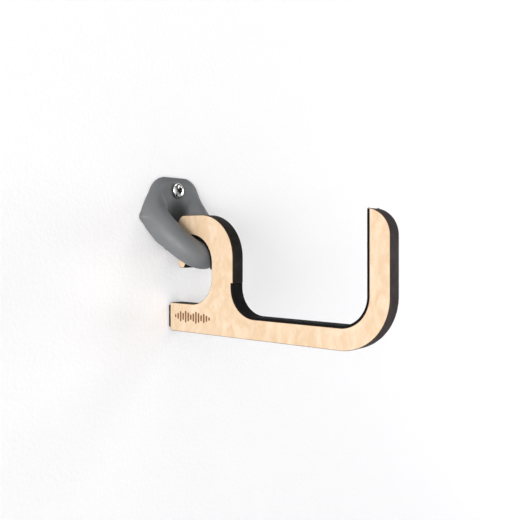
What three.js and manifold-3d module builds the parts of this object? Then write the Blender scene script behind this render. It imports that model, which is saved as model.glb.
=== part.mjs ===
// Wall guitar hanger: a moulded wall bracket with a closed loop, and a plywood J hook that hangs on the loop.
//
// Millimetres, +Z up. The wall is the plane Y = 0 and the hanger stands out from it along -Y.
// X = 0 is the middle plane of the bracket and of the plywood. The origin is on the bracket's back face.
//
// Profiles are drawn in two plain coordinates: "out" is the distance from the wall, and "up" is the height.
import * as THREE from 'three';
import { ConvexGeometry } from 'three/addons/geometries/ConvexGeometry.js';
import { mergeVertices } from 'three/addons/utils/BufferGeometryUtils.js';
import Module from 'manifold-3d';

const wasm = await Module();
wasm.setup();

// ---------------------------------------------------------------- driving dimensions

// bracket plate
const PLATE_RIM = [[0, 0], [0, 0.5], [3.2, 2.8], [5.8, 4], [9, 4.5]]; // rim: in from the outline, out
const PLATE_DEPTH = 4.5; // thickness on the wall
const PLATE_TOP = 30.6; // height of the top edge above the origin
const PLATE_TOP_HALF = 21.8; // half width of the top edge, before its corners are rounded
const PLATE_WIDE_HALF = 39.6; // half width at the side corners
const PLATE_WIDE_UP = -3.9; // height of the side corners
const PLATE_FOOT_HALF = 9.5; // half width of the bottom edge
const PLATE_FOOT_UP = -30.5; // height of the bottom edge
const PLATE_TOP_CORNER = 19; // corner radii
const PLATE_SIDE_CORNER = 4;
const PLATE_FOOT_CORNER = 5;

// loop that the hook hangs on: a round bar on half an ellipse, sloping down and away from the wall
const BAR_RADIUS = 10.7; // at its front
const ROOT_RADIUS = 11; // at the wall
const LOOP_HALF = 23.4; // from the middle plane to the bar's centre line at the wall
const LOOP_ROOT_UP = -0.3; // height of the bar's centre line at the wall
const BAR_OUT = 34.2; // centre of the front of the bar
const BAR_UP = -34.6;
const LOOP_RUN_ON = 0.4; // angle that each end runs on behind the wall, before it is cut off
const LOOP_STEPS = 40;
const BAR_SIDES = 28;

// screws: 6 mm raised pan head wood screws, in holes with a shallow seat
const SCREW_UPS = { upper_screw: 19.5, lower_screw: -15 };
const SHANK_RADIUS = 3;
const SCREW_LENGTH = 40; // under the head
const SCREW_POINT = 6; // length of the tapered point
const POINT_SHOULDER = [0.5, 2]; // between the point and the shank: in, along
const HEAD_RADIUS = 6;
const HEAD_HEIGHT = 4.3;
const HEAD_SIDE = 1.7; // height of the head's straight side, under its dome
const HOLE_RADIUS = 3.3;
const SEAT_RADIUS = 6.9;
const SEAT_OUT = 3.1; // distance of the seat from the wall
const SEAT_GAP = 0.3; // between the seat and the underside of the head
const RECESS_LENGTH = 6.6; // cross recess in the head
const RECESS_WIDTH = 1.7;
const RECESS_DEPTH = 2.3;

// plywood hook; its heights are counted from its bottom edge
const PLY = 12; // sheet thickness
const HOOK_BOTTOM = -96.6; // height of the bottom edge in the bracket's frame
const REACH = 205.5; // from the wall to the far side of the J
const STRIP = 15.4; // width of the arm under and beyond the cradle
const J_TOP = 96.5; // height of the J's tip
const J_TIP_RADIUS = 18.1;
const CRADLE_RADIUS = 23; // both inner corners of the cradle
const CRADLE_NEAR = 68.8; // from the wall to the near side of the cradle
const NOTCH_UP = 41.6; // where the near side steps in to take the liner
const STEM_OUT = 70.8; // far side of the stem, above the notch
const CURL_TOP = 94.9;
const CURL_RADIUS = 33.6; // outer curve of the curl
const CURL_BACK = 11; // side of the curl that faces the wall
const CURL_CORNER = 7.4;
const TIP_BOTTOM = 52.1; // lower end of the curl's tip
const TIP_CORNER = 4; // its corner that faces the wall
const TIP_OUT = 19.7; // side of the tip that faces the bar
const TIP_CHAMFER = [2.2, 3.8]; // out, up
const SLOT_CORNER = 6; // near corner of the slot's top
const ARCH_RADIUS = 22.6; // far corner of the slot's top
const ARCH_OUT = 26; // centre of that arc
const ARCH_UP = 56.5;
const FOOT_TOP = 23.1; // height of the foot that braces against the wall
const FOOT_RADIUS = 21.9; // inner corner between foot and stem
const EDGE_CORNER = 1.4; // small rounded corners

// black liners and the pad on the foot, stuck on with thin tape
const TAPE = 0.1;
const LINER = 1.6;
const LINER_START_ANGLE = 0.8 * Math.PI; // where the curl's liner starts in the slot's near corner
const LINER_END_UP = 51.6; // its lower end on the stem
const PAD_DEPTH = 1.7;
const PAD_LOW = 2.6;
const PAD_HIGH = 21.2;

const ARC_STEPS = 12; // points in each rounded corner of a profile

// ---------------------------------------------------------------- helpers

// The frame of a profile: its x is "out" (-Y), its y is "up" (+Z), and it is extruded along -X.
const PROFILE_TURN = new THREE.Quaternion().setFromRotationMatrix(
  new THREE.Matrix4().makeBasis(
    new THREE.Vector3(0, -1, 0),
    new THREE.Vector3(0, 0, 1),
    new THREE.Vector3(-1, 0, 0),
  ),
);

function toSolid(geometry) {
  const bare = geometry.clone();
  bare.deleteAttribute('normal');
  bare.deleteAttribute('uv');
  const merged = mergeVertices(bare, 1e-4);
  return new wasm.Manifold(
    new wasm.Mesh({
      numProp: 3,
      vertProperties: new Float32Array(merged.attributes.position.array),
      triVerts: new Uint32Array(merged.index.array),
    }),
  );
}

function toGeometry(solid) {
  const mesh = solid.getMesh();
  const geometry = new THREE.BufferGeometry();
  geometry.setAttribute('position', new THREE.BufferAttribute(mesh.vertProperties, 3));
  geometry.setIndex(new THREE.BufferAttribute(mesh.triVerts, 1));
  geometry.computeVertexNormals();
  return geometry;
}

function box(width, depth, height, x, y, z) {
  return new THREE.BoxGeometry(width, depth, height).translate(x, y, z);
}

// The points of a closed convex outline through corners [x, y, radius], rounded, and drawn in by inset.
function roundedOutline(corners, inset = 0) {
  const points = [];
  const count = corners.length;
  const origin = new THREE.Vector2();
  for (let i = 0; i < count; i += 1) {
    const [x, y, fullRadius] = corners[i];
    const corner = new THREE.Vector2(x, y);
    const [before, after] = [i + count - 1, i + 1].map((k) => {
      const [nextX, nextY] = corners[k % count];
      return new THREE.Vector2(nextX, nextY).sub(corner).normalize();
    });
    const radius = Math.max(fullRadius - inset, EDGE_CORNER);
    const half = Math.acos(before.dot(after)) / 2;
    const inwards = before.clone().add(after).normalize();
    const centre = corner.clone().addScaledVector(inwards, (inset + radius) / Math.sin(half));
    const start = before.clone().rotateAround(origin, Math.sign(before.cross(after)) * Math.PI * -0.5);
    const turn = (Math.PI - 2 * half) * Math.sign(before.cross(after)) * -1;
    for (let k = 0; k <= ARC_STEPS; k += 1) {
      const spoke = start.clone().rotateAround(origin, (turn * k) / ARC_STEPS);
      points.push(centre.clone().addScaledVector(spoke, radius));
    }
  }
  return points;
}

function extrude(shape, depth) {
  return new THREE.ExtrudeGeometry(shape, { depth, bevelEnabled: false, curveSegments: ARC_STEPS });
}

// ---------------------------------------------------------------- bracket and screws

// Centre line of the loop, from one root to the other. Both of its ends run on behind the wall.
class LoopCurve extends THREE.Curve {
  // 0 at the first root, a right angle at the front of the loop
  angle(t) {
    return (Math.PI + 2 * LOOP_RUN_ON) * t - LOOP_RUN_ON;
  }

  getPoint(t, target = new THREE.Vector3()) {
    const share = Math.sin(this.angle(t));
    const up = LOOP_ROOT_UP + (BAR_UP - LOOP_ROOT_UP) * share;
    return target.set(-LOOP_HALF * Math.cos(this.angle(t)), -BAR_OUT * share, up);
  }

  radius(t) {
    return ROOT_RADIUS + (BAR_RADIUS - ROOT_RADIUS) * Math.sin(this.angle(t));
  }
}

// A bar of round section along a curve that lies in one plane, with flat ends.
function barGeometry(curve, planeNormal) {
  const positions = [];
  for (let k = 0; k <= LOOP_STEPS; k += 1) {
    const t = k / LOOP_STEPS;
    const centre = curve.getPoint(t);
    const side = curve.getTangent(t).cross(planeNormal).normalize();
    for (let i = 0; i < BAR_SIDES; i += 1) {
      const angle = (2 * Math.PI * i) / BAR_SIDES;
      const point = centre
        .clone()
        .addScaledVector(side, curve.radius(t) * Math.cos(angle))
        .addScaledVector(planeNormal, curve.radius(t) * Math.sin(angle));
      positions.push(...point.toArray());
    }
  }
  const index = [];
  for (let k = 0; k < LOOP_STEPS; k += 1) {
    for (let i = 0; i < BAR_SIDES; i += 1) {
      const [a, b] = [i, (i + 1) % BAR_SIDES].map((n) => k * BAR_SIDES + n);
      index.push(a, b + BAR_SIDES, b, a, a + BAR_SIDES, b + BAR_SIDES);
    }
  }
  const lastRing = LOOP_STEPS * BAR_SIDES;
  for (let i = 1; i < BAR_SIDES - 1; i += 1) {
    index.push(0, i, i + 1, lastRing, lastRing + i + 1, lastRing + i);
  }
  const geometry = new THREE.BufferGeometry();
  geometry.setAttribute('position', new THREE.Float32BufferAttribute(positions, 3));
  geometry.setIndex(index);
  return geometry;
}

function bracketGeometry() {
  const rightSide = [
    [PLATE_TOP_HALF, PLATE_TOP, PLATE_TOP_CORNER],
    [PLATE_WIDE_HALF, PLATE_WIDE_UP, PLATE_SIDE_CORNER],
    [PLATE_FOOT_HALF, PLATE_FOOT_UP, PLATE_FOOT_CORNER],
  ];
  const leftSide = rightSide.map(([x, up, radius]) => [-x, up, radius]).reverse();
  const rings = PLATE_RIM.map(([inset, out]) =>
    roundedOutline([...rightSide, ...leftSide], inset).map(({ x, y }) => new THREE.Vector3(x, -out, y)),
  );
  const plate = new ConvexGeometry(rings.flat());

  const loopNormal = new THREE.Vector3(0, BAR_UP - LOOP_ROOT_UP, BAR_OUT).normalize();
  const bar = barGeometry(new LoopCurve(), loopNormal);

  const size = 200;
  const behindWall = box(size, size, size, 0, size / 2, 0);
  let solid = toSolid(plate).add(toSolid(bar)).subtract(toSolid(behindWall));
  for (const up of Object.values(SCREW_UPS)) {
    const hole = new THREE.CylinderGeometry(HOLE_RADIUS, HOLE_RADIUS, 4 * PLATE_DEPTH, 32);
    const seat = new THREE.CylinderGeometry(SEAT_RADIUS, SEAT_RADIUS, PLATE_DEPTH, 40);
    hole.translate(0, 0, up);
    seat.translate(0, -SEAT_OUT - PLATE_DEPTH / 2, up);
    solid = solid.subtract(toSolid(hole)).subtract(toSolid(seat));
  }
  return toGeometry(solid);
}

// A screw along its own axis: the head's underside is at 0, the head is above it, and the shank below.
function screwGeometry() {
  const profile = [
    [0, -SCREW_LENGTH],
    [SHANK_RADIUS - POINT_SHOULDER[0], -SCREW_LENGTH + SCREW_POINT],
    [SHANK_RADIUS, -SCREW_LENGTH + SCREW_POINT + POINT_SHOULDER[1]],
    [SHANK_RADIUS, 0],
    [HEAD_RADIUS, 0],
    [HEAD_RADIUS, HEAD_SIDE],
  ];
  const domeSteps = 8;
  for (let k = 1; k <= domeSteps; k += 1) {
    const angle = (Math.PI / 2) * (k / domeSteps);
    profile.push([
      HEAD_RADIUS * Math.cos(angle),
      HEAD_SIDE + (HEAD_HEIGHT - HEAD_SIDE) * Math.sin(angle),
    ]);
  }
  profile[profile.length - 1][0] = 0;
  const turned = new THREE.LatheGeometry(profile.map(([r, h]) => new THREE.Vector2(r, h)), 36);

  let solid = toSolid(turned);
  for (const turn of [0, Math.PI / 2]) {
    const blade = box(RECESS_LENGTH, 2 * RECESS_DEPTH, RECESS_WIDTH, 0, HEAD_HEIGHT, 0);
    blade.rotateY(turn);
    solid = solid.subtract(toSolid(blade));
  }
  return toGeometry(solid);
}

// ---------------------------------------------------------------- plywood hook, liners and pad

// The side of the cradle, moved into the cradle by inset: down the stem, along the floor and up the J.
function traceCradle(path, inset, startUp, endUp) {
  const radius = CRADLE_RADIUS - inset;
  const near = CRADLE_NEAR + CRADLE_RADIUS;
  const far = REACH - STRIP - CRADLE_RADIUS;
  const up = STRIP + CRADLE_RADIUS;
  path.moveTo(CRADLE_NEAR + inset, startUp);
  path.lineTo(CRADLE_NEAR + inset, up);
  path.absarc(near, up, radius, Math.PI, 1.5 * Math.PI, false);
  path.absarc(far, up, radius, 1.5 * Math.PI, 2 * Math.PI, false);
  path.lineTo(REACH - STRIP - inset, endUp);
}

// The side of the slot, moved into the slot by inset: from the near corner, over the arch and down the stem.
function traceSlot(path, inset, startAngle, endUp) {
  const cornerUp = ARCH_UP + ARCH_RADIUS - SLOT_CORNER;
  path.absarc(TIP_OUT + SLOT_CORNER, cornerUp, SLOT_CORNER - inset, startAngle, Math.PI / 2, true);
  path.absarc(ARCH_OUT, ARCH_UP, ARCH_RADIUS - inset, Math.PI / 2, 0, true);
  path.lineTo(ARCH_OUT + ARCH_RADIUS - inset, endUp);
}

function traced(trace, ...args) {
  const path = new THREE.Path();
  trace(path, ...args);
  return path.getPoints(ARC_STEPS);
}

// A strip of even thickness that lies on a traced side.
function stripShape(trace, start, endUp) {
  const outer = traced(trace, TAPE, start, endUp);
  const inner = traced(trace, TAPE + LINER, start, endUp);
  return new THREE.Shape([...outer, ...inner.reverse()]);
}

// Height of the J's rounded tip at its cradle side.
const J_TIP_INNER_UP =
  J_TOP - J_TIP_RADIUS + Math.sqrt(J_TIP_RADIUS ** 2 - (J_TIP_RADIUS - STRIP) ** 2);

function hookShape() {
  const shape = new THREE.Shape();
  const back = PAD_DEPTH + TAPE;
  const jRadius = CRADLE_RADIUS + STRIP;
  const stemIn = ARCH_OUT + ARCH_RADIUS;
  const tipAngle = Math.acos((J_TIP_RADIUS - STRIP) / J_TIP_RADIUS);

  // foot, bottom edge, and up the outside of the J
  shape.absarc(back + EDGE_CORNER, FOOT_TOP - EDGE_CORNER, EDGE_CORNER, Math.PI / 2, Math.PI, false);
  shape.absarc(back + 2 * EDGE_CORNER, 2 * EDGE_CORNER, 2 * EDGE_CORNER, Math.PI, 1.5 * Math.PI, false);
  shape.absarc(REACH - jRadius, jRadius, jRadius, -Math.PI / 2, 0, false);
  shape.absarc(REACH - J_TIP_RADIUS, J_TOP - J_TIP_RADIUS, J_TIP_RADIUS, 0, tipAngle, false);
  // back round the cradle to the notch
  for (const point of traced(traceCradle, 0, NOTCH_UP, J_TIP_INNER_UP).reverse()) {
    shape.lineTo(point.x, point.y);
  }
  // up the stem and over the curl to its tip
  shape.lineTo(STEM_OUT, NOTCH_UP);
  shape.absarc(STEM_OUT - CURL_RADIUS, CURL_TOP - CURL_RADIUS, CURL_RADIUS, 0, Math.PI / 2, false);
  shape.absarc(CURL_BACK + CURL_CORNER, CURL_TOP - CURL_CORNER, CURL_CORNER, Math.PI / 2, Math.PI, false);
  shape.absarc(CURL_BACK + TIP_CORNER, TIP_BOTTOM + TIP_CORNER, TIP_CORNER, Math.PI, 1.5 * Math.PI, false);
  shape.lineTo(TIP_OUT - TIP_CHAMFER[0], TIP_BOTTOM);
  shape.lineTo(TIP_OUT, TIP_BOTTOM + TIP_CHAMFER[1]);
  // round the slot, down the stem and back along the foot
  for (const point of traced(traceSlot, 0, Math.PI, FOOT_TOP + FOOT_RADIUS)) {
    shape.lineTo(point.x, point.y);
  }
  shape.absarc(stemIn - FOOT_RADIUS, FOOT_TOP + FOOT_RADIUS, FOOT_RADIUS, 0, -Math.PI / 2, true);
  return shape;
}

// ---------------------------------------------------------------- assembly

function finish(color, roughness, metalness = 0) {
  return new THREE.MeshStandardMaterial({ color, roughness, metalness });
}

function named(name, geometry, material) {
  const mesh = new THREE.Mesh(geometry, material);
  mesh.name = name;
  return mesh;
}

const hanger = new THREE.Group();

hanger.add(named('wall_bracket', bracketGeometry(), finish(0x7b8086, 0.55)));

for (const [name, up] of Object.entries(SCREW_UPS)) {
  const screw = named(name, screwGeometry(), finish(0xd8d9dc, 0.15, 1));
  screw.rotation.x = Math.PI;
  screw.position.set(0, -SEAT_OUT - SEAT_GAP, up);
  hanger.add(screw);
}

// The hook's group has the profile's own axes, with its origin on the wall at the hook's bottom edge.
const hook = new THREE.Group();
hook.quaternion.copy(PROFILE_TURN);
hook.position.set(0, 0, HOOK_BOTTOM);
hanger.add(hook);

const hookArm = named('hook_arm', extrude(hookShape(), PLY), finish(0xecd3b2, 0.6));
const cradleLiner = named(
  'cradle_liner',
  extrude(stripShape(traceCradle, NOTCH_UP - TAPE, J_TIP_INNER_UP - TAPE), PLY),
  finish(0x1c1a1d, 0.85),
);
const hookLiner = named(
  'hook_liner',
  extrude(stripShape(traceSlot, LINER_START_ANGLE, LINER_END_UP), PLY),
  finish(0x1c1a1d, 0.85),
);
for (const piece of [hookArm, cradleLiner, hookLiner]) {
  piece.position.z = -PLY / 2;
  hook.add(piece);
}

const padOutline = roundedOutline([
  [-PLY / 2, PAD_LOW, EDGE_CORNER],
  [PLY / 2, PAD_LOW, EDGE_CORNER],
  [PLY / 2, PAD_HIGH, EDGE_CORNER],
  [-PLY / 2, PAD_HIGH, EDGE_CORNER],
]);
const wallPad = named('wall_bumper', extrude(new THREE.Shape(padOutline), PAD_DEPTH), finish(0x1c1a1d, 0.9));
wallPad.rotation.y = Math.PI / 2;
hook.add(wallPad);

export default hanger;
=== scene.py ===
"""Wall guitar hanger: a grey moulded bracket with a round loop, and a plywood J hook that hangs on it.

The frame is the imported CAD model, in metres: the wall is Y = 0, the hanger stands out along -Y, and Z is up.
The moulded and turned pieces are described in millimetres as (across, out, up), with out = -Y.
"""
import itertools
import math

import bmesh
import bpy
import numpy as np
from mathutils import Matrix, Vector


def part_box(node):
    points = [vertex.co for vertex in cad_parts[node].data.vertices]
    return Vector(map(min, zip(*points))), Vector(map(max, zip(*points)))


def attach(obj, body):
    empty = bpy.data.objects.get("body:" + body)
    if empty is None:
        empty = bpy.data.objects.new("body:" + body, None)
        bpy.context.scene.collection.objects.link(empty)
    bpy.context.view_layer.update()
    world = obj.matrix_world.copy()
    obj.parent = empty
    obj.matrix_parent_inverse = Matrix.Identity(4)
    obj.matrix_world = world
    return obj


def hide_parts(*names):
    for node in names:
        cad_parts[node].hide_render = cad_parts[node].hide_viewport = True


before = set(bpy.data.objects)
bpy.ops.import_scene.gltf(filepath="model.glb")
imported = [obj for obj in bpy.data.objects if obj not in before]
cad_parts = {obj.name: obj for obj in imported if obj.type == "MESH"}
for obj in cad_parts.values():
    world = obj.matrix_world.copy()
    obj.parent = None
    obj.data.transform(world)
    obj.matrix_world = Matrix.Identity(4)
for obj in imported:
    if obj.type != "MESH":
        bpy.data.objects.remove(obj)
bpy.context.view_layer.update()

MM = 0.001
SAME_PLACE = 1e-6  # metres: points closer than this lie in one plane


# ---------------------------------------------------------------- camera, light and stage

CAMERA_PLACE = (-0.3994, -0.4173, -0.0200)
CAMERA_TURN = -50.91  # degrees, from looking along +Y
LENS = 47.3
SHIFT_UP = -0.0425

WALL_TONE = (0.91, 0.91, 0.925)
WALL_GLOW = 0.1
WALL_GAP = 0.2 * MM  # from the hanger's flat back to the wall's surface
FLOOR_DROP = 1.1  # from the hanger's origin down to the floor
STAGE_SIZE = 4.0

ROOM_BRIGHT_SIDE = Vector((-0.87, -0.12, -0.38)).normalized()
ROOM_BRIGHT = 1.5  # strength of the room's light from that side, and from the sides away from it
ROOM_DARK = 0.15
ROOM_FALL = (-0.08, 0.9)  # cosines from the bright side where the light starts and stops to rise

WHITE = (1, 1, 1)
LIGHTS_AIM = (0, -0.08, -0.03)
LIGHTS = (  # name, place, diameter, watts, colour
    ("window", (-2.0, -0.7, -0.1), 1.1, 28.5, (1.0, 0.985, 0.965)),
    ("ceiling", (-0.1, -0.35, 1.4), 0.8, 3.5, WHITE),
    ("lamp", (1.1, -1.3, 0.75), 0.8, 5, WHITE),
    ("far_side", (1.7, -0.4, -0.1), 1.0, 12, WHITE),
)


def place_camera():
    data = bpy.data.cameras.new("camera")
    data.lens = LENS
    data.shift_y = SHIFT_UP
    camera = bpy.data.objects.new("camera", data)
    camera.location = CAMERA_PLACE
    camera.rotation_euler = (math.radians(90), 0, math.radians(CAMERA_TURN))
    bpy.context.scene.collection.objects.link(camera)
    bpy.context.scene.camera = camera


def area_light(name, place, diameter, watts, colour):
    data = bpy.data.lights.new(name, "AREA")
    data.shape = "DISK"
    data.size = diameter
    data.energy = watts
    data.color = colour
    light = bpy.data.objects.new(name, data)
    light.location = place
    light.rotation_euler = (Vector(LIGHTS_AIM) - Vector(place)).to_track_quat("-Z", "Y").to_euler()
    bpy.context.scene.collection.objects.link(light)


def light_room():
    """A pale room that is brighter low on the left."""
    scene = bpy.context.scene
    scene.view_settings.view_transform = "Standard"
    world = bpy.data.worlds.new("studio")
    world.use_nodes = True
    nodes, links = world.node_tree.nodes, world.node_tree.links
    turned = nodes.new("ShaderNodeVectorMath")
    turned.operation = "DOT_PRODUCT"
    links.new(nodes.new("ShaderNodeTexCoord").outputs["Generated"], turned.inputs[0])
    turned.inputs[1].default_value = ROOM_BRIGHT_SIDE
    glow = nodes.new("ShaderNodeMapRange")
    limits = (*ROOM_FALL, ROOM_DARK, ROOM_BRIGHT)
    for socket, value in zip(("From Min", "From Max", "To Min", "To Max"), limits):
        glow.inputs[socket].default_value = value
    links.new(turned.outputs["Value"], glow.inputs["Value"])
    background = nodes["Background"]
    background.inputs["Color"].default_value = (*WHITE, 1)
    links.new(glow.outputs["Result"], background.inputs["Strength"])
    scene.world = world


def stage_plane(name, corners, material):
    mesh = bpy.data.meshes.new(name)
    mesh.from_pydata(corners, [], [(0, 1, 2, 3)])
    plane = bpy.data.objects.new(name, mesh)
    plane.data.materials.append(material)
    bpy.context.scene.collection.objects.link(plane)
    return plane


def build_stage():
    half = STAGE_SIZE / 2
    floor = -FLOOR_DROP
    stage_plane(
        "floor",
        [(-half, -half, floor), (half, -half, floor), (half, half, floor), (-half, half, floor)],
        painted("floor_paint"),
    )
    # The wall shows and takes shadows on its room side only, so it doesn't hide or shade the hanger's back.
    wall = stage_plane(
        "wall",
        [(-half, WALL_GAP, floor), (half, WALL_GAP, floor), (half, WALL_GAP, half), (-half, WALL_GAP, half)],
        painted("wall_paint", one_sided=True),
    )
    wall.visible_shadow = False
    wall.visible_diffuse = False


# ---------------------------------------------------------------- materials

MIX_FIRST, MIX_SECOND, MIX_RESULT = 6, 7, 2  # a Mix node's sockets for colours

PLIES = 9
SCORCH_WIDTH = 1.4 * MM  # the burnt edge is browner this close to the hook's left face
PAINTED_SHEEN_OUT = (90 * MM, 200 * MM)  # and a painted sheen turns it paler and greyer from the first to the second of these, out of the wall


class Finish:
    """A Principled material with procedural colour, roughness and bump in the piece's own coordinates."""

    def __init__(self, name, **sockets):
        self.material = bpy.data.materials.new(name)
        self.material.use_nodes = True
        self.tree = self.material.node_tree
        self.shader = self.tree.nodes["Principled BSDF"]
        for socket, value in sockets.items():
            self.shader.inputs[socket.replace("_", " ")].default_value = value
        self.place = self.node("TexCoord").outputs["Object"]

    def node(self, kind, **inputs):
        node = self.tree.nodes.new("ShaderNode" + kind)
        for socket, value in inputs.items():
            self.feed(node.inputs[socket.replace("_", " ")], value)
        return node

    def feed(self, socket, value):
        if isinstance(value, bpy.types.NodeSocket):
            self.tree.links.new(value, socket)
        else:
            socket.default_value = value

    def noise(self, size, stretch=(1, 1, 1), detail=3.0, distortion=0.0):
        """Noise with features about this large in metres, drawn out by stretch along each axis."""
        scale = [1 / (size * s) for s in stretch]
        mapping = self.node("Mapping", Vector=self.place, Scale=scale)
        texture = self.node(
            "TexNoise",
            Vector=mapping.outputs["Vector"],
            Scale=1.0,
            Detail=detail,
            Roughness=0.5,
            Distortion=distortion,
        )
        return texture.outputs["Fac"]

    def attribute(self, name):
        node = self.node("Attribute")
        node.attribute_name = name
        return node.outputs["Fac"]

    def along(self, axis):
        return self.node("SeparateXYZ", Vector=self.place).outputs[axis]

    def math(self, operation, first, second=0.0):
        node = self.tree.nodes.new("ShaderNodeMath")
        node.operation = operation
        self.feed(node.inputs[0], first)
        self.feed(node.inputs[1], second)
        return node.outputs[0]

    def span(self, value, low, high, start=0.0, end=1.0):
        """The value carried from low..high to start..end, and held there outside."""
        node = self.node("MapRange", Value=value, From_Min=low, From_Max=high, To_Min=start, To_Max=end)
        return node.outputs["Result"]

    def mix(self, factor, first, second):
        node = self.tree.nodes.new("ShaderNodeMix")
        node.data_type = "RGBA"
        self.feed(node.inputs["Factor"], factor)
        for socket, value in ((node.inputs[MIX_FIRST], first), (node.inputs[MIX_SECOND], second)):
            self.feed(socket, value if isinstance(value, bpy.types.NodeSocket) else (*value, 1))
        return node.outputs[MIX_RESULT]

    def colour(self, value):
        self.feed(self.shader.inputs["Base Color"], value)

    def roughness(self, value):
        self.feed(self.shader.inputs["Roughness"], value)

    def bump(self, *layers):
        """Stacks (height, depth in metres) layers."""
        normal = None
        for height, depth in layers:
            node = self.node("Bump", Height=height, Distance=depth, Strength=1.0)
            if normal is not None:
                self.feed(node.inputs["Normal"], normal)
            normal = node.outputs["Normal"]
        self.feed(self.shader.inputs["Normal"], normal)


def painted(name, one_sided=False):
    """Pale paint with a fine texture and a faint glow. One-sided paint is clear from behind."""
    finish = Finish(name, Roughness=0.75, Emission_Color=(*WHITE, 1), Emission_Strength=WALL_GLOW)
    finish.colour((*WALL_TONE, 1))
    finish.bump((finish.noise(3 * MM, detail=2.0), 0.22 * MM))
    if one_sided:
        clear = finish.node("BsdfTransparent")
        facing = finish.node("NewGeometry").outputs["Backfacing"]
        sides = finish.node("MixShader")
        finish.feed(sides.inputs[0], facing)
        finish.feed(sides.inputs[1], finish.shader.outputs[0])
        finish.feed(sides.inputs[2], clear.outputs[0])
        finish.feed(finish.tree.nodes["Material Output"].inputs["Surface"], sides.outputs[0])
    return finish.material


def moulded_grey():
    """Satin moulded plastic: two drifting greys, a fine darker speckle, and painted deep shade on the plate
    inside the loop.
    """
    darker, paler = (0.129, 0.136, 0.142), (0.147, 0.154, 0.161)
    speck = (0.115, 0.121, 0.126)
    shade = (0.015, 0.015, 0.015)
    finish = Finish("moulded_grey", Metallic=0.0)
    drift = finish.noise(22 * MM, detail=2.0)
    speckle = finish.noise(0.7 * MM, detail=3.0)
    tone = finish.mix(finish.span(drift, 0.35, 0.65), darker, paler)
    tone = finish.mix(finish.span(speckle, 0.4, 0.62, 0.0, 0.35), tone, speck)
    # painted shade: darkens the plate inside the loop, where the arms and the curl shade it
    tone = finish.mix(finish.span(finish.attribute("painted_hollow_shade"), 0.0, 1.0, 0.0, 0.95), tone, shade)
    finish.colour(tone)
    finish.roughness(finish.span(finish.noise(6 * MM), 0.3, 0.7, 0.42, 0.56))
    finish.bump((speckle, 0.035 * MM), (finish.noise(3 * MM, detail=1.0), 0.05 * MM))
    return finish.material


def bright_chrome():
    """Bright plating, duller where it is worn, with painted shade that makes it nearly black inside the
    recess.
    """
    bright, worn = (0.86, 0.855, 0.845), (0.74, 0.735, 0.73)
    shade = (0.02, 0.018, 0.016)
    finish = Finish("bright_chrome", Metallic=1.0)
    wear = finish.noise(1.6 * MM, detail=4.0)
    tone = finish.mix(finish.span(wear, 0.4, 0.7), bright, worn)
    # painted shade: the cross recess turns nearly black with depth
    tone = finish.mix(finish.span(finish.attribute("sunk"), 0.1, 0.8, 0.0, 0.93), tone, shade)
    finish.colour(tone)
    finish.roughness(finish.span(wear, 0.3, 0.75, 0.07, 0.2))
    finish.bump((finish.noise(0.5 * MM), 0.006 * MM))
    return finish.material


def birch_face():
    """Pale birch veneer: broad tones, warmer figure and patches, fine upright grain, and a scorched rim."""
    darker, paler = (0.58, 0.42, 0.272), (0.66, 0.52, 0.378)
    warm_figure, warm_patch = (0.6, 0.38, 0.2), (0.58, 0.36, 0.19)
    dark_grain = (0.46, 0.29, 0.16)
    scorch = (0.62, 0.33, 0.13)
    finish = Finish("birch_face")
    broad = finish.noise(15 * MM, stretch=(1, 1, 1.4), detail=3.0, distortion=1.5)
    figure = finish.noise(5 * MM, stretch=(1, 1, 1.8), detail=4.0, distortion=2.0)
    patch = finish.noise(13 * MM, stretch=(1, 0.8, 1.2), detail=2.0, distortion=2.5)
    grain = finish.noise(0.4 * MM, stretch=(1, 1, 14), detail=3.0)
    tone = finish.mix(finish.span(broad, 0.35, 0.65), darker, paler)
    tone = finish.mix(finish.span(figure, 0.5, 0.7, 0.0, 0.36), tone, warm_figure)
    tone = finish.mix(finish.span(patch, 0.56, 0.72, 0.0, 0.4), tone, warm_patch)
    tone = finish.mix(finish.span(grain, 0.58, 0.78, 0.0, 0.22), tone, dark_grain)
    scorched = finish.math("MULTIPLY", finish.attribute("rim"), finish.span(figure, 0.35, 0.65, 0.12, 0.5))
    finish.colour(finish.mix(scorched, tone, scorch))
    finish.roughness(finish.span(grain, 0.35, 0.7, 0.5, 0.62))
    finish.bump((grain, 0.03 * MM))
    return finish.material


def burnt_edge():
    """Laser-burnt plywood: char over faint plies, browner by the left face, and a painted sheen that makes it
    paler and greyer far from the wall.
    """
    dark_ply, pale_ply = (0.009, 0.007, 0.006), (0.018, 0.013, 0.012)
    stroke, soot = (0.03, 0.024, 0.022), (0.006, 0.005, 0.005)
    scorch, grey = (0.075, 0.035, 0.015), (0.05, 0.038, 0.036)
    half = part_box("hook_arm")[1].x
    finish = Finish("burnt_edge", Specular_IOR_Level=0.12)
    strokes = finish.noise(0.45 * MM, stretch=(14, 1, 1), detail=3.0)
    char = finish.noise(9 * MM, detail=3.0)
    across = finish.along("X")
    layer = finish.math("SINE", finish.math("MULTIPLY", across, math.pi * PLIES / (2 * half)))
    plies = finish.span(layer, -0.25, 0.25)
    tone = finish.mix(plies, dark_ply, pale_ply)
    tone = finish.mix(finish.span(strokes, 0.5, 0.75, 0.0, 0.5), tone, stroke)
    tone = finish.mix(finish.span(char, 0.4, 0.6, 0.0, 0.6), tone, soot)
    tone = finish.mix(finish.span(across, -half, SCORCH_WIDTH - half, 0.55, 0.0), tone, scorch)
    # painted sheen: a paler grey further out of the wall
    near, far = PAINTED_SHEEN_OUT
    tone = finish.mix(finish.span(finish.along("Y"), -near, -far, 0.0, 0.8), tone, grey)
    finish.colour(tone)
    finish.roughness(finish.span(char, 0.3, 0.7, 0.6, 0.8))
    finish.bump((strokes, 0.05 * MM), (plies, 0.02 * MM))
    return finish.material


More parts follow.
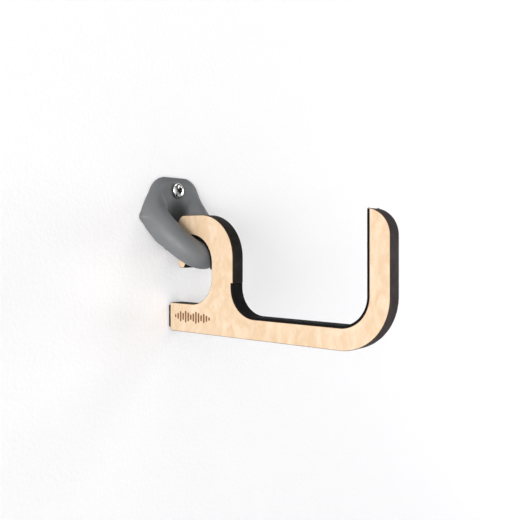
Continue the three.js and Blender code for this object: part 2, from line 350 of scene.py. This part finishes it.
def engraved_brown():
    """Wood scorched by the engraving."""
    darker, paler = (0.13, 0.05, 0.012), (0.24, 0.105, 0.03)
    finish = Finish("engraved_brown", Roughness=0.8)
    char = finish.noise(0.6 * MM, stretch=(1, 1, 3))
    finish.colour(finish.mix(finish.span(char, 0.35, 0.65), darker, paler))
    finish.bump((char, 0.04 * MM))
    return finish.material


def soft_black():
    """Matte black lining with fine cells."""
    darker, paler = (0.0025, 0.0025, 0.003), (0.008, 0.008, 0.009)
    finish = Finish("soft_black", Specular_IOR_Level=0.08)
    cells = finish.noise(0.5 * MM, detail=3.0)
    finish.colour(finish.mix(finish.span(cells, 0.35, 0.65), darker, paler))
    finish.roughness(finish.span(finish.noise(5 * MM), 0.3, 0.7, 0.7, 0.9))
    finish.bump((cells, 0.05 * MM))
    return finish.material


# ---------------------------------------------------------------- shapes

SLOPE_REACH = 0.02  # millimetres to each side of a point where its slope is measured
LEAST_SLOPE = 0.05  # squared, so that no point is thrown far where a field is nearly flat
NET_PULLS = 3  # times that the net's points are drawn on to the surface
TINY = 1e-6  # a length in millimetres, or an area, that counts as nothing


def part_way(value, start, end):
    """0 at start, 1 at end, and held there outside."""
    return np.clip((value - start) / (end - start), 0, 1)


def eased(share):
    """A share of 0 to 1 that starts and ends gently."""
    return share**2 * (3 - 2 * share)


def soft_least(a, b, blend):
    """The lesser of two fields, with the corner between them filled over the blend distance."""
    overlap = np.maximum(blend - np.abs(a - b), 0) / blend
    return np.minimum(a, b) - overlap**2 * blend / 4


def soft_most(a, b, blend):
    return -soft_least(-a, -b, blend)


def field_slope(field, points):
    slope = np.empty_like(points)
    for axis in range(3):
        offset = np.zeros(3)
        offset[axis] = SLOPE_REACH
        slope[:, axis] = (field(points + offset) - field(points - offset)) / (2 * SLOPE_REACH)
    return slope


def crossed_cells(value):
    """The grid cells with a change of sign, and the mean place in each of its edges' crossings, as shares."""
    shape = np.array(value.shape) - 1
    total = np.zeros((*shape, 3))
    crossings = np.zeros(shape)
    for start in itertools.product((0, 1), repeat=3):
        for axis in range(3):
            if start[axis]:
                continue
            end = tuple(start[m] + (m == axis) for m in range(3))
            a = value[tuple(slice(s, s + n) for s, n in zip(start, shape))]
            b = value[tuple(slice(s, s + n) for s, n in zip(end, shape))]
            crossed = (a < 0) != (b < 0)
            share = np.where(crossed, a / np.where(crossed, a - b, 1), 0)
            for m in range(3):
                total[..., m] += np.where(crossed, share if m == axis else start[m], 0)
            crossings += crossed
    cells = np.argwhere(crossings > 0)
    at = tuple(cells.T)
    return cells, total[at] / crossings[at][:, None]


def net_faces(inside, number):
    """A face round each grid edge that the surface crosses, from the numbers of the four cells beside it."""
    faces = []
    for axis in range(3):
        here = [slice(1, -1)] * 3
        here[axis] = slice(0, -1)
        ahead = list(here)
        ahead[axis] = slice(1, None)
        begin = np.ones(3, int)
        begin[axis] = 0
        edge = np.argwhere(inside[tuple(here)] != inside[tuple(ahead)]) + begin
        u, v = np.eye(3, dtype=int)[[(axis + 1) % 3, (axis + 2) % 3]]
        ring = np.stack([number[tuple((edge - d).T)] for d in (0 * u, u, u + v, v)], 1)
        turned = ~inside[tuple(edge.T)]
        ring[turned] = ring[turned][:, ::-1]
        faces.append(ring)
    return np.concatenate(faces)


def surface_net(field, low, high, step):
    """The closed surface where field(points) is 0, as (points, four-cornered faces)."""
    axes = [np.arange(a - 1.5 * step, b + 2.5 * step, step) for a, b in zip(low, high)]
    grid = np.stack(np.meshgrid(*axes, indexing="ij"), -1)
    value = field(grid.reshape(-1, 3)).reshape(grid.shape[:3])
    cells, share = crossed_cells(value)
    points = grid[0, 0, 0] + step * (cells + share)
    number = np.full(np.array(value.shape) - 1, -1)
    number[tuple(cells.T)] = np.arange(len(cells))
    faces = net_faces(value < 0, number)

    for _ in range(NET_PULLS):
        slope = field_slope(field, points)
        pull = field(points) / np.maximum((slope**2).sum(1), LEAST_SLOPE)
        points -= np.clip(pull, -step / 2, step / 2)[:, None] * slope
    return points, faces


def loft_faces(count, rings):
    """Faces of a closed form of rings with count points each, and a flat cap on the first and last ring."""
    faces = []
    for r in range(rings - 1):
        for i in range(count):
            j = (i + 1) % count
            faces.append((r * count + i, r * count + j, (r + 1) * count + j, (r + 1) * count + i))
    return [*faces, tuple(range(count)), tuple(range((rings - 1) * count, rings * count))]


def piece(name, points, faces, materials):
    """An object of the hanger from points in metres in the frame."""
    mesh = bpy.data.meshes.new(name)
    mesh.from_pydata([tuple(p) for p in points], [], [tuple(f) for f in faces])
    for material in materials:
        mesh.materials.append(material)
    mesh.shade_smooth()
    made = bpy.data.objects.new(name, mesh)
    bpy.context.scene.collection.objects.link(made)
    return made


def mark_points(made, name, values):
    """A number for each point of a piece, which its material reads."""
    mark = made.data.attributes.new(name, "FLOAT", "POINT")
    mark.data.foreach_set("value", np.array(values, np.float32))


def in_frame(points):
    """(across, out, up) in millimetres to the frame's metres. It mirrors, so faces turn round too."""
    return np.stack([points[:, 0], -points[:, 1], points[:, 2]], 1) * MM


def middle_up(node):
    """Height of a node's middle in millimetres."""
    low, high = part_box(node)
    return (low.z + high.z) / 2 / MM


# ---------------------------------------------------------------- moulded bracket

BRACKET_STEP = 0.7  # size of the surface's faces
NEAREST_ROUNDS = 4  # of the search for the nearest point of the loop's centre line
BAR_RADIUS = 10.7  # at the front of the loop
ROOT_RADIUS = 11.0  # where it leaves the wall
LOOP_HALF = 23.4  # half the width of the loop's centre line
LOOP_ROOT_UP = -0.3  # height of the centre line at the wall
PLATE_DEPTH = 4.5  # thickness in the plate's middle
PLATE_LIP = 0.5  # thickness at the plate's edge
PLATE_ROUND = 0.5  # between the plate's face and its edge
RIM_WIDTH = 9.0  # the face slopes from the edge up to its full depth over this width
SEAT_RADIUS = 6.9  # dimple under a screw's head
SEAT_OUT = 3.1  # and its floor's distance out of the wall
SEAT_ROUND = 0.7
HOLE_RADIUS = 3.3
FILLET = 9.0  # where the loop grows out of the plate's face
INNER_FILLET = 3.0  # and inside the loop, where it takes over between these distances from X = 0
INNER_ACROSS = (LOOP_HALF - 2, LOOP_HALF - 12)
EDGE_FILLET = 3.0  # and beside the plate's upper edges
UNDER_FILLET = 13.0  # and beside its lower edges, where it takes over between these heights
UNDER_UP = (-3, -15)
UNDER_OUT = 8.0  # and is full from here out of the wall

PAINTED_SHADE_ACROSS = 15.0  # half the width and height of the painted shade on the plate inside the loop
PAINTED_SHADE_UP = 18.0
PAINTED_SHADE_GROWTH = 1.4  # the higher, the larger the fully shaded middle
PAINTED_SHADE_BACK = (1.0, 3.0)  # out of the wall, it has no shade at the first place and full shade at the second
PAINTED_SHADE_FRONT = (11.0, 6.0)  # and so again at its open side


def plate_edges():
    """The plate's outline as the (normals, distances) of its straight edges, in millimetres."""
    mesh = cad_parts["wall_bracket"].data
    on_wall = [v.co for v in mesh.vertices if abs(v.co.y) < SAME_PLACE]
    points = sorted({(round(place.x / MM, 3), round(place.z / MM, 3)) for place in on_wall})
    hull = []
    for chain in (points, points[::-1]):
        side = []
        for x, y in chain:
            while len(side) > 1:
                (ax, ay), (bx, by) = side[-2:]
                if (bx - ax) * (y - ay) - (by - ay) * (x - ax) > TINY:
                    break
                side.pop()
            side.append((x, y))
        hull += side[:-1]
    hull = np.array(hull)
    step = np.roll(hull, -1, 0) - hull
    normal = np.stack([step[:, 1], -step[:, 0]], 1) / np.linalg.norm(step, axis=1)[:, None]
    return normal, (normal * hull).sum(1)


def nearest_on_ellipse(x, y, half_x, half_y):
    """Distance in the plane to an ellipse's curve, and the nearest point's height as a share of half_y."""
    x, y = np.abs(x), np.abs(y)
    cos = sin = np.full_like(x, math.sqrt(0.5))
    for _ in range(NEAREST_ROUNDS):
        centre_x = (half_x**2 - half_y**2) * cos**3 / half_x
        centre_y = (half_y**2 - half_x**2) * sin**3 / half_y
        reach = np.hypot(half_x * cos - centre_x, half_y * sin - centre_y)
        away = np.maximum(np.hypot(x - centre_x, y - centre_y), TINY)
        cos = np.clip(((x - centre_x) * reach / away + centre_x) / half_x, 0, 1)
        sin = np.clip(((y - centre_y) * reach / away + centre_y) / half_y, 0, 1)
        norm = np.hypot(cos, sin)
        cos, sin = cos / norm, sin / norm
    return np.hypot(x - half_x * cos, y - half_y * sin), sin


def bracket_field():
    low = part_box("wall_bracket")[0]
    normal, distance = plate_edges()
    bar_out = -low.y / MM - BAR_RADIUS
    bar_drop = low.z / MM + BAR_RADIUS - LOOP_ROOT_UP
    loop_reach = math.hypot(bar_out, bar_drop)
    screw_ups = [middle_up(node) for node in ("upper_screw", "lower_screw")]

    def field(points):
        x, out, up = points.T
        edge = np.max(points[:, [0, 2]] @ normal.T - distance, axis=1)
        inset = part_way(-edge, 0, RIM_WIDTH)
        rise = PLATE_DEPTH - PLATE_LIP
        slope = 2 * rise / RIM_WIDTH * (1 - inset)
        front = (out - PLATE_LIP - rise * (1 - (1 - inset) ** 2)) / np.sqrt(1 + slope**2)
        plate = soft_most(front, edge, PLATE_ROUND)

        drop = up - LOOP_ROOT_UP
        along = (out * bar_out + drop * bar_drop) / loop_reach
        aside = (out * bar_drop - drop * bar_out) / loop_reach
        away, share = nearest_on_ellipse(x, along, LOOP_HALF, loop_reach)
        bar = np.hypot(away, aside) - ROOT_RADIUS + (ROOT_RADIUS - BAR_RADIUS) * share

        under = part_way(up, *UNDER_UP) * part_way(out, 0, UNDER_OUT)
        beside = EDGE_FILLET + (UNDER_FILLET - EDGE_FILLET) * under
        within = FILLET + (INNER_FILLET - FILLET) * part_way(np.abs(x), *INNER_ACROSS)
        body = soft_least(plate, bar, beside + (within - beside) * eased(inset))
        for screw_up in screw_ups:
            radius = np.hypot(x, up - screw_up)
            body = soft_most(body, -np.maximum(radius - SEAT_RADIUS, SEAT_OUT - out), SEAT_ROUND)
            body = np.maximum(body, HOLE_RADIUS - radius)
        return np.maximum(body, -out)

    return field


def painted_hollow_shade_of(points):
    """Painted shade: 1 on the plate deep inside the loop, behind the curl, falling to 0 at the arms and the
    upper screw.
    """
    x, out, up = points.T
    away = np.hypot(x / PAINTED_SHADE_ACROSS, up / PAINTED_SHADE_UP)
    near_middle = eased(np.clip(PAINTED_SHADE_GROWTH * (1 - away), 0, 1))
    return near_middle * eased(part_way(out, *PAINTED_SHADE_BACK)) * eased(part_way(out, *PAINTED_SHADE_FRONT))


def build_bracket(material):
    low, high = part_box("wall_bracket")
    points, faces = surface_net(
        bracket_field(),
        (low.x / MM, -high.y / MM, low.z / MM),
        (high.x / MM, -low.y / MM, high.z / MM),
        BRACKET_STEP,
    )
    bracket = piece("bracket_moulding", in_frame(points), faces[:, ::-1], [material])
    # a number for the painted shade inside the loop, which the grey material reads
    mark_points(bracket, "painted_hollow_shade", painted_hollow_shade_of(points))
    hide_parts("wall_bracket")
    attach(bracket, "bracket")


# ---------------------------------------------------------------- screws

SCREW_STEP = 0.2  # size of the surface's faces
HEAD_RADIUS = 6.0
HEAD_HEIGHT = 4.3
HEAD_SIDE = 1.7  # height of the round side below the dome
HEAD_ROUND = 0.5  # round the head's underside
NECK_FILLET = 0.6  # between the head and the shank
RECESS_DEPTH = 2.7
RECESS_FLOOR = 1.2  # no part of the cross recess is lower than this above the head's underside
RECESS_ROUND = 0.25  # round the recess's rim
RECESS_BLEND = 0.5  # between its wings and its core
WING_LONG = 3.6  # half a wing's length at the head's top
WING_LONG_LOSS = 0.5  # and what it loses for each millimetre of depth
WING_WIDE = 1.0  # half its width
WING_WIDE_LOSS = 0.1
WING_ROUND = 0.3  # round its corners
CORE_RADIUS = 2.2
CORE_LOSS = 0.35
RECESS_SHADE_GROWTH = 4.0  # how fast the painted shade in the recess darkens with depth below the dome
THREAD_ROOT = 2.1  # radius in the grooves
THREAD_CREST = 3.0  # and on the ridges
THREAD_PITCH = 2.6
THREAD_FLANK = 2.2  # the higher, the narrower the slopes between root and crest
THREAD_START = 2.0  # the thread grows to its full height over this length
THREAD_SCALE = 0.7  # brings the field beside the steep thread nearer to a true distance
NECK = 7.0  # plain shank under the head
NECK_RADIUS = 2.45
POINT = 9.0  # tapered end
POINT_CURVE = 0.7  # below 1, the taper is rounder
SHANK_IN_HEAD = 0.5  # the shank reaches this far into the head


def dome_share(radius, h):
    """Distance from the middle of the head's dome, as a share of the way to its surface."""
    return np.hypot(radius / HEAD_RADIUS, np.maximum(h - HEAD_SIDE, 0) / (HEAD_HEIGHT - HEAD_SIDE))


def pan_head(radius, h):
    """Half an ellipsoid on a short round side."""
    dome = HEAD_HEIGHT - HEAD_SIDE
    near = dome_share(radius, h)
    steep = np.hypot(radius / HEAD_RADIUS**2, np.maximum(h - HEAD_SIDE, 0) / dome**2)
    return soft_most(near * (near - 1) / np.maximum(steep, TINY), -h, HEAD_ROUND)


def cross_recess(x, y, depth):
    """Two crossed wings and a round core, which grow smaller with depth below the head's top."""
    wings = []
    for across, along in ((x, y), (y, x)):
        wide = np.abs(across) - WING_WIDE + WING_WIDE_LOSS * depth
        long = np.abs(along) - WING_LONG + WING_LONG_LOSS * depth
        wings.append(soft_most(wide, long, WING_ROUND))
    core = np.hypot(x, y) - CORE_RADIUS + CORE_LOSS * depth
    cross = soft_least(soft_least(*wings, RECESS_BLEND), core, RECESS_BLEND)
    return np.maximum(cross, depth - RECESS_DEPTH)


def threaded_shank(x, y, h, length):
    """A plain neck, a thread and a tapered point."""
    turn = h / THREAD_PITCH - np.arctan2(y, x) / (2 * math.pi)
    phase = np.abs((turn % 1) - 0.5) * 2
    started = part_way(h, -NECK, -NECK - THREAD_START)
    taper = part_way(h, -length, POINT - length) ** POINT_CURVE
    root = NECK_RADIUS + (THREAD_ROOT - NECK_RADIUS) * started
    crest = started * (THREAD_CREST - THREAD_ROOT) * np.clip(THREAD_FLANK * (phase - 0.5), 0, 1)
    shank = (np.hypot(x, y) - (root + crest) * taper) * THREAD_SCALE
    return np.maximum(np.maximum(shank, -h - length), h - SHANK_IN_HEAD)


def screw_field(length):
    """A pan head wood screw: its head's underside is at 0, its head above and its shank below."""

    def field(points):
        x, y, h = points.T
        recess = cross_recess(x, y, HEAD_HEIGHT - h)
        head = soft_most(pan_head(np.hypot(x, y), h), -recess, RECESS_ROUND)
        return soft_least(head, threaded_shank(x, y, h, length), NECK_FILLET)

    return field


def recess_shade_of(points):
    """Painted shade: 1 deep in the cross recess, falling to 0 at the head's dome and below the head."""
    x, y, h = points.T
    below_dome = 1 - dome_share(np.hypot(x, y), h)
    return np.where(h > RECESS_FLOOR, np.clip(RECESS_SHADE_GROWTH * below_dome, 0, 1), 0)


def build_screw(node, material):
    low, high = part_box(node)
    head_out = -low.y / MM - HEAD_HEIGHT
    length = head_out + high.y / MM
    points, faces = surface_net(
        screw_field(length),
        (-HEAD_RADIUS, -HEAD_RADIUS, -length),
        (HEAD_RADIUS, HEAD_RADIUS, HEAD_HEIGHT),
        SCREW_STEP,
    )
    # The screw's y points up and its h out of the wall. That mirrors a second time, so its faces stay.
    x, y, h = points.T
    placed = in_frame(np.stack([x, head_out + h, middle_up(node) + y], 1))
    screw = piece(node + "_turned", placed, faces, [material])
    # a number for the painted shade in the recess, which the chrome reads
    mark_points(screw, "sunk", recess_shade_of(points))
    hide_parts(node)
    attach(screw, "bracket")


# ---------------------------------------------------------------- flat-cut pieces

ARC_PARTS = 3  # parts that each step of an arc is cut into
SHARP_TURN = math.radians(25)  # a corner of the outline that turns this far is sharp
LEAST_BEND = math.radians(0.3)  # a step that bends less than this is straight
EASE = 0.35 * MM  # round of the pieces' edges
EASE_STEPS = 3
EASE_TURN = math.radians(40)
RIM = 1.0 * MM  # scorched band beside the hook's outline

ORNAMENT_HEIGHTS = (2.6, 5.2, 8.4, 6.0, 9.6, 7.2, 4.4, 6.6, 9.6, 7.8, 5.0, 7.4, 5.2, 2.8)
ORNAMENT_OUT = 8.2 * MM  # first bar, from the wall
ORNAMENT_PITCH = 2.9 * MM
ORNAMENT_RADIUS = 0.9 * MM
ORNAMENT_UP = 12.5 * MM  # middle of the row, above the hook's bottom edge
ORNAMENT_ROUND_STEPS = 10
SHORTEST_REACH = 0.05 * MM  # least half length between a bar's round ends
ENGRAVED = 0.3 * MM
FACE_SLOT, EDGE_SLOT, ENGRAVED_SLOT = 0, 1, 2
FLAT_FACE = 0.98  # a face whose normal has less than this along X is part of the burnt edge


def side_outline(node):
    """The outline of a flat-cut CAD piece, in order, as (out, up) in metres."""
    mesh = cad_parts[node].data
    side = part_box(node)[1].x
    flat = [abs(v.co.x - side) < SAME_PLACE for v in mesh.vertices]
    place = [(round(-v.co.y, 7), round(v.co.z, 7)) for v in mesh.vertices]
    edges = set()
    for face in mesh.polygons:
        if all(flat[i] for i in face.vertices):
            ring = [place[i] for i in face.vertices]
            edges.update(zip(ring, ring[1:] + ring[:1]))
    follow = {a: b for a, b in edges if (b, a) not in edges}
    outline = [min(follow)]
    while follow[outline[-1]] != outline[0]:
        outline.append(follow[outline[-1]])
    return np.array(outline)


def with_finer_arcs(outline):
    """The outline with more points on its arcs. Straight stretches and sharp corners stay."""
    step = np.roll(outline, -1, 0) - outline
    length = np.linalg.norm(step, axis=1)
    ahead = step / length[:, None]
    behind, length_behind = np.roll(ahead, 1, 0), np.roll(length, 1)
    bends = np.arccos(np.clip((ahead * behind).sum(1), -1, 1)) < SHARP_TURN
    tangent = ahead + behind
    tangent[length > 2 * length_behind] = ahead[length > 2 * length_behind]
    tangent[length_behind > 2 * length] = behind[length_behind > 2 * length]
    tangent /= np.linalg.norm(tangent, axis=1)[:, None]
    points = []
    for i, start in enumerate(outline):
        j = (i + 1) % len(outline)
        leaving = tangent[i] if bends[i] else ahead[i]
        arriving = tangent[j] if bends[j] else ahead[i]
        curved = min(leaving @ ahead[i], arriving @ ahead[i]) < math.cos(LEAST_BEND)
        for t in np.arange(ARC_PARTS if curved else 1) / ARC_PARTS:
            rest = 1 - t
            point = (1 + 2 * t) * rest**2 * start + t**2 * (3 - 2 * t) * outline[j]
            point = point + t * rest**2 * length[i] * leaving - t**2 * rest * length[i] * arriving
            points.append(point)
    return np.array(points)


def drawn_in(outline, inset):
    """The outline moved inwards. Its points run the same way round as before."""
    step = np.roll(outline, -1, 0) - outline
    ahead = step / np.linalg.norm(step, axis=1)[:, None]
    behind = np.roll(ahead, 1, 0)
    turn = np.sign((outline * np.roll(outline, -1, 0)[:, ::-1] * (1, -1)).sum())
    inwards = turn * np.stack([-(ahead + behind)[:, 1], (ahead + behind)[:, 0]], 1)
    inwards /= np.maximum((inwards**2).sum(1), 1)[:, None] / 2
    return outline + inset * inwards


def slab(name, outline, half, materials, rim=0.0):
    """An outline extruded from -half to half along X, with eased edges and a rim marked on its two faces."""
    count = len(outline)
    rings = [(-half, outline), (half, outline)]
    if rim:
        inner = drawn_in(outline, rim)
        rings = [(-half, inner), *rings, (half, inner)]
    points = [(x, -out, up) for x, ring in rings for out, up in ring]
    made = piece(name, points, loft_faces(count, len(rings)), materials)
    if rim:
        mark_points(made, "rim", [0.0] * count + [1.0] * (2 * count) + [0.0] * count)
    recalculate(made)
    bevel = made.modifiers.new("ease", "BEVEL")
    bevel.width = EASE
    bevel.segments = EASE_STEPS
    bevel.limit_method = "ANGLE"
    bevel.angle_limit = EASE_TURN
    bevel.use_clamp_overlap = False
    settle(made)
    return made


def recalculate(made):
    """Turns the faces' normals outwards."""
    work = bmesh.new()
    work.from_mesh(made.data)
    bmesh.ops.recalc_face_normals(work, faces=work.faces)
    work.to_mesh(made.data)
    work.free()


def settle(made):
    """Applies the object's modifiers to its mesh."""
    graph = bpy.context.evaluated_depsgraph_get()
    mesh = bpy.data.meshes.new_from_object(made.evaluated_get(graph))
    made.modifiers.clear()
    made.data = mesh


def even_shading(made):
    """Lets the large flat faces keep their own normals beside the eased edges."""
    weighted = made.modifiers.new("even", "WEIGHTED_NORMAL")
    weighted.keep_sharp = True
    settle(made)


def stadium(out, low, high, side):
    """Points of a bar with round ends, from as far outside the face at X = side as it is sunk inside it."""
    ring = []
    for centre, start in ((high, 0), (low, 1)):
        for k in range(ORNAMENT_ROUND_STEPS + 1):
            angle = math.pi * (start + k / ORNAMENT_ROUND_STEPS)
            y = -out - ORNAMENT_RADIUS * math.cos(angle)
            z = centre + ORNAMENT_RADIUS * math.sin(angle)
            ring.append((y, z))
    return [(x, y, z) for x in (side - ENGRAVED, side + ENGRAVED) for y, z in ring]


def engrave(hook, side, middle):
    """Sinks a generic row of round-ended bars into the foot's face at X = side, round the height middle."""
    points, faces = [], []
    for k, height in enumerate(ORNAMENT_HEIGHTS):
        reach = max(height / 2 * MM - ORNAMENT_RADIUS, SHORTEST_REACH)
        bar = stadium(ORNAMENT_OUT + k * ORNAMENT_PITCH, middle - reach, middle + reach, side)
        faces += [tuple(i + len(points) for i in face) for face in loft_faces(len(bar) // 2, 2)]
        points += bar
    cutter = piece("cutter", points, faces, [])
    recalculate(cutter)
    cut = hook.modifiers.new("engrave", "BOOLEAN")
    cut.operation = "DIFFERENCE"
    cut.solver = "EXACT"
    cut.object = cutter
    settle(hook)
    bpy.data.objects.remove(cutter)


def is_engraved(centre, side, middle):
    """Whether a face with this centre lies in the engraved row."""
    depth = centre.x - side
    past_first = -centre.y - ORNAMENT_OUT
    sunk = ENGRAVED / 10 < depth < 2 * ENGRAVED
    in_length = -ORNAMENT_PITCH < past_first < len(ORNAMENT_HEIGHTS) * ORNAMENT_PITCH
    in_height = abs(centre.z - middle) < max(ORNAMENT_HEIGHTS) / 2 * MM + ENGRAVED
    return sunk and in_length and in_height


def build_hook(face, edge, engraved):
    low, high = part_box("hook_arm")
    middle = low.z + ORNAMENT_UP
    outline = with_finer_arcs(side_outline("hook_arm"))
    hook = slab("hook_plywood", outline, high.x, [face, edge, engraved], rim=RIM)
    engrave(hook, -high.x, middle)
    for polygon in hook.data.polygons:
        polygon.material_index = FACE_SLOT if abs(polygon.normal.x) > FLAT_FACE else EDGE_SLOT
        if is_engraved(polygon.center, -high.x, middle):
            polygon.material_index = ENGRAVED_SLOT
    hook.data.shade_smooth()
    even_shading(hook)
    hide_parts("hook_arm")
    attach(hook, "hook")


def build_liner(node, material):
    outline = with_finer_arcs(side_outline(node))
    liner = slab(node + "_strip", outline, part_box(node)[1].x, [material])
    even_shading(liner)
    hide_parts(node)
    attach(liner, "hook")


# ---------------------------------------------------------------- wall pad

PAD_CORNER = 1.4 * MM
PAD_CORNER_STEPS = 8
PAD_CROWN = 0.5 * MM
PAD_CROWN_STEPS = 4


def pad_ring(size, inset):
    """A rectangle with rounded corners, drawn in by inset, as (x, z) from its middle."""
    radius = PAD_CORNER - inset
    ring = []
    for side_x, side_z, start in ((1, 1, 0), (-1, 1, 1), (-1, -1, 2), (1, -1, 3)):
        for k in range(PAD_CORNER_STEPS + 1):
            angle = (start + k / PAD_CORNER_STEPS) * math.pi / 2
            x = side_x * (size.x / 2 - PAD_CORNER) + radius * math.cos(angle)
            z = side_z * (size.z / 2 - PAD_CORNER) + radius * math.sin(angle)
            ring.append((x, z))
    return ring


def build_bumper(material):
    """A flat pad with rounded corners and a soft crown round its edge."""
    low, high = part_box("wall_bumper")
    centre = (low + high) / 2
    size = high - low
    profile = []
    for k in range(PAD_CROWN_STEPS + 1):
        angle = math.pi / 2 * k / PAD_CROWN_STEPS
        profile.append((PAD_CROWN * (1 - math.sin(angle)), PAD_CROWN * (1 - math.cos(angle))))
    profile += [(inset, size.y - depth) for inset, depth in reversed(profile)]
    rings = [[(x, depth, z) for x, z in pad_ring(size, inset)] for inset, depth in profile]
    points = [(centre.x + x, low.y + depth, centre.z + z) for ring in rings for x, depth, z in ring]
    bumper = piece("wall_bumper_pad", points, loft_faces(len(rings[0]), len(rings)), [material])
    recalculate(bumper)
    even_shading(bumper)
    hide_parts("wall_bumper")
    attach(bumper, "hook")


# ---------------------------------------------------------------- scene

place_camera()
light_room()
for light in LIGHTS:
    area_light(*light)
build_stage()

build_bracket(moulded_grey())
chrome = bright_chrome()
for screw_node in ("upper_screw", "lower_screw"):
    build_screw(screw_node, chrome)
build_hook(birch_face(), burnt_edge(), engraved_brown())
black = soft_black()
for liner_node in ("cradle_liner", "hook_liner"):
    build_liner(liner_node, black)
build_bumper(black)
